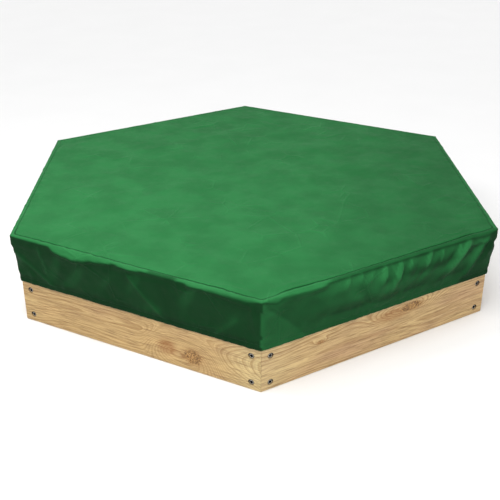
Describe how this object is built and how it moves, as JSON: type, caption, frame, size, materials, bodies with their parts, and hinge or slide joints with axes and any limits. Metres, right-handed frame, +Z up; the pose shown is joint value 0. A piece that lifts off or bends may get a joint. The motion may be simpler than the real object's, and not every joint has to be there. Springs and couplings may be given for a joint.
{
  "type": "sandbox with cover",
  "caption": "Hexagonal timber sandbox with stacked board walls, corner posts and a seat ring, under a fitted fabric cover with an elastic hem.",
  "frame": {"origin": "on the ground at the centre of the hexagon", "axes": "+Z up; one corner of the hexagon points along -Y, towards the viewer; two of the six walls face +X and -X"},
  "size_m": [1.5972, 1.8444, 0.3212],
  "materials": {
    "timber": "planed softwood with a clear, slightly yellowed oil",
    "bolt_steel": "zinc plated, dulled",
    "cover_fabric": "coated woven polyester, soft sheen, green",
    "skirt_fabric": "coated woven polyester, soft sheen, dark green",
    "elastic": "woven elastic in the hem, dark green",
    "ground_sheet": "matt woven ground sheet, charcoal"
  },
  "bodies": {
    "frame": {"lower_board_front_right": "timber", "upper_board_front_right": "timber", "seat_front_right": "timber", "lower_board_right": "timber", "upper_board_right": "timber", "seat_right": "timber", "lower_board_back_right": "timber", "upper_board_back_right": "timber", "seat_back_right": "timber", "lower_board_back_left": "timber", "upper_board_back_left": "timber", "seat_back_left": "timber", "lower_board_left": "timber", "upper_board_left": "timber", "seat_left": "timber", "lower_board_front_left": "timber", "upper_board_front_left": "timber", "seat_front_left": "timber", "post_front": "timber", "post_right_front": "timber", "post_right_back": "timber", "post_back": "timber", "post_left_back": "timber", "post_left_front": "timber", "bolt_front_right_at_front_low": "bolt_steel", "bolt_front_right_at_front_high": "bolt_steel", "bolt_front_right_at_right_front_low": "bolt_steel", "bolt_front_right_at_right_front_high": "bolt_steel", "bolt_right_at_right_front_low": "bolt_steel", "bolt_right_at_right_front_high": "bolt_steel", "bolt_right_at_right_back_low": "bolt_steel", "bolt_right_at_right_back_high": "bolt_steel", "bolt_back_right_at_right_back_low": "bolt_steel", "bolt_back_right_at_right_back_high": "bolt_steel", "bolt_back_right_at_back_low": "bolt_steel", "bolt_back_right_at_back_high": "bolt_steel", "bolt_back_left_at_back_low": "bolt_steel", "bolt_back_left_at_back_high": "bolt_steel", "bolt_back_left_at_left_back_low": "bolt_steel", "bolt_back_left_at_left_back_high": "bolt_steel", "bolt_left_at_left_back_low": "bolt_steel", "bolt_left_at_left_back_high": "bolt_steel", "bolt_left_at_left_front_low": "bolt_steel", "bolt_left_at_left_front_high": "bolt_steel", "bolt_front_left_at_left_front_low": "bolt_steel", "bolt_front_left_at_left_front_high": "bolt_steel", "bolt_front_left_at_front_low": "bolt_steel", "bolt_front_left_at_front_high": "bolt_steel", "ground_liner": "ground_sheet"},
    "cover": {"cover_top": "cover_fabric", "cover_skirt_front_right": "skirt_fabric", "cover_skirt_right": "skirt_fabric", "cover_skirt_back_right": "skirt_fabric", "cover_skirt_back_left": "skirt_fabric", "cover_skirt_left": "skirt_fabric", "cover_skirt_front_left": "skirt_fabric", "hem_elastic": "elastic"}
  },
  "joints": [
    {"name": "cover_lift", "type": "slide", "parent": "frame", "child": "cover", "axis": [0, 0, 1], "range_m": [0, 0.45], "deforming": ["cover_skirt_front_right", "cover_skirt_right", "cover_skirt_back_right", "cover_skirt_back_left", "cover_skirt_left", "cover_skirt_front_left", "hem_elastic"]}
  ]
}
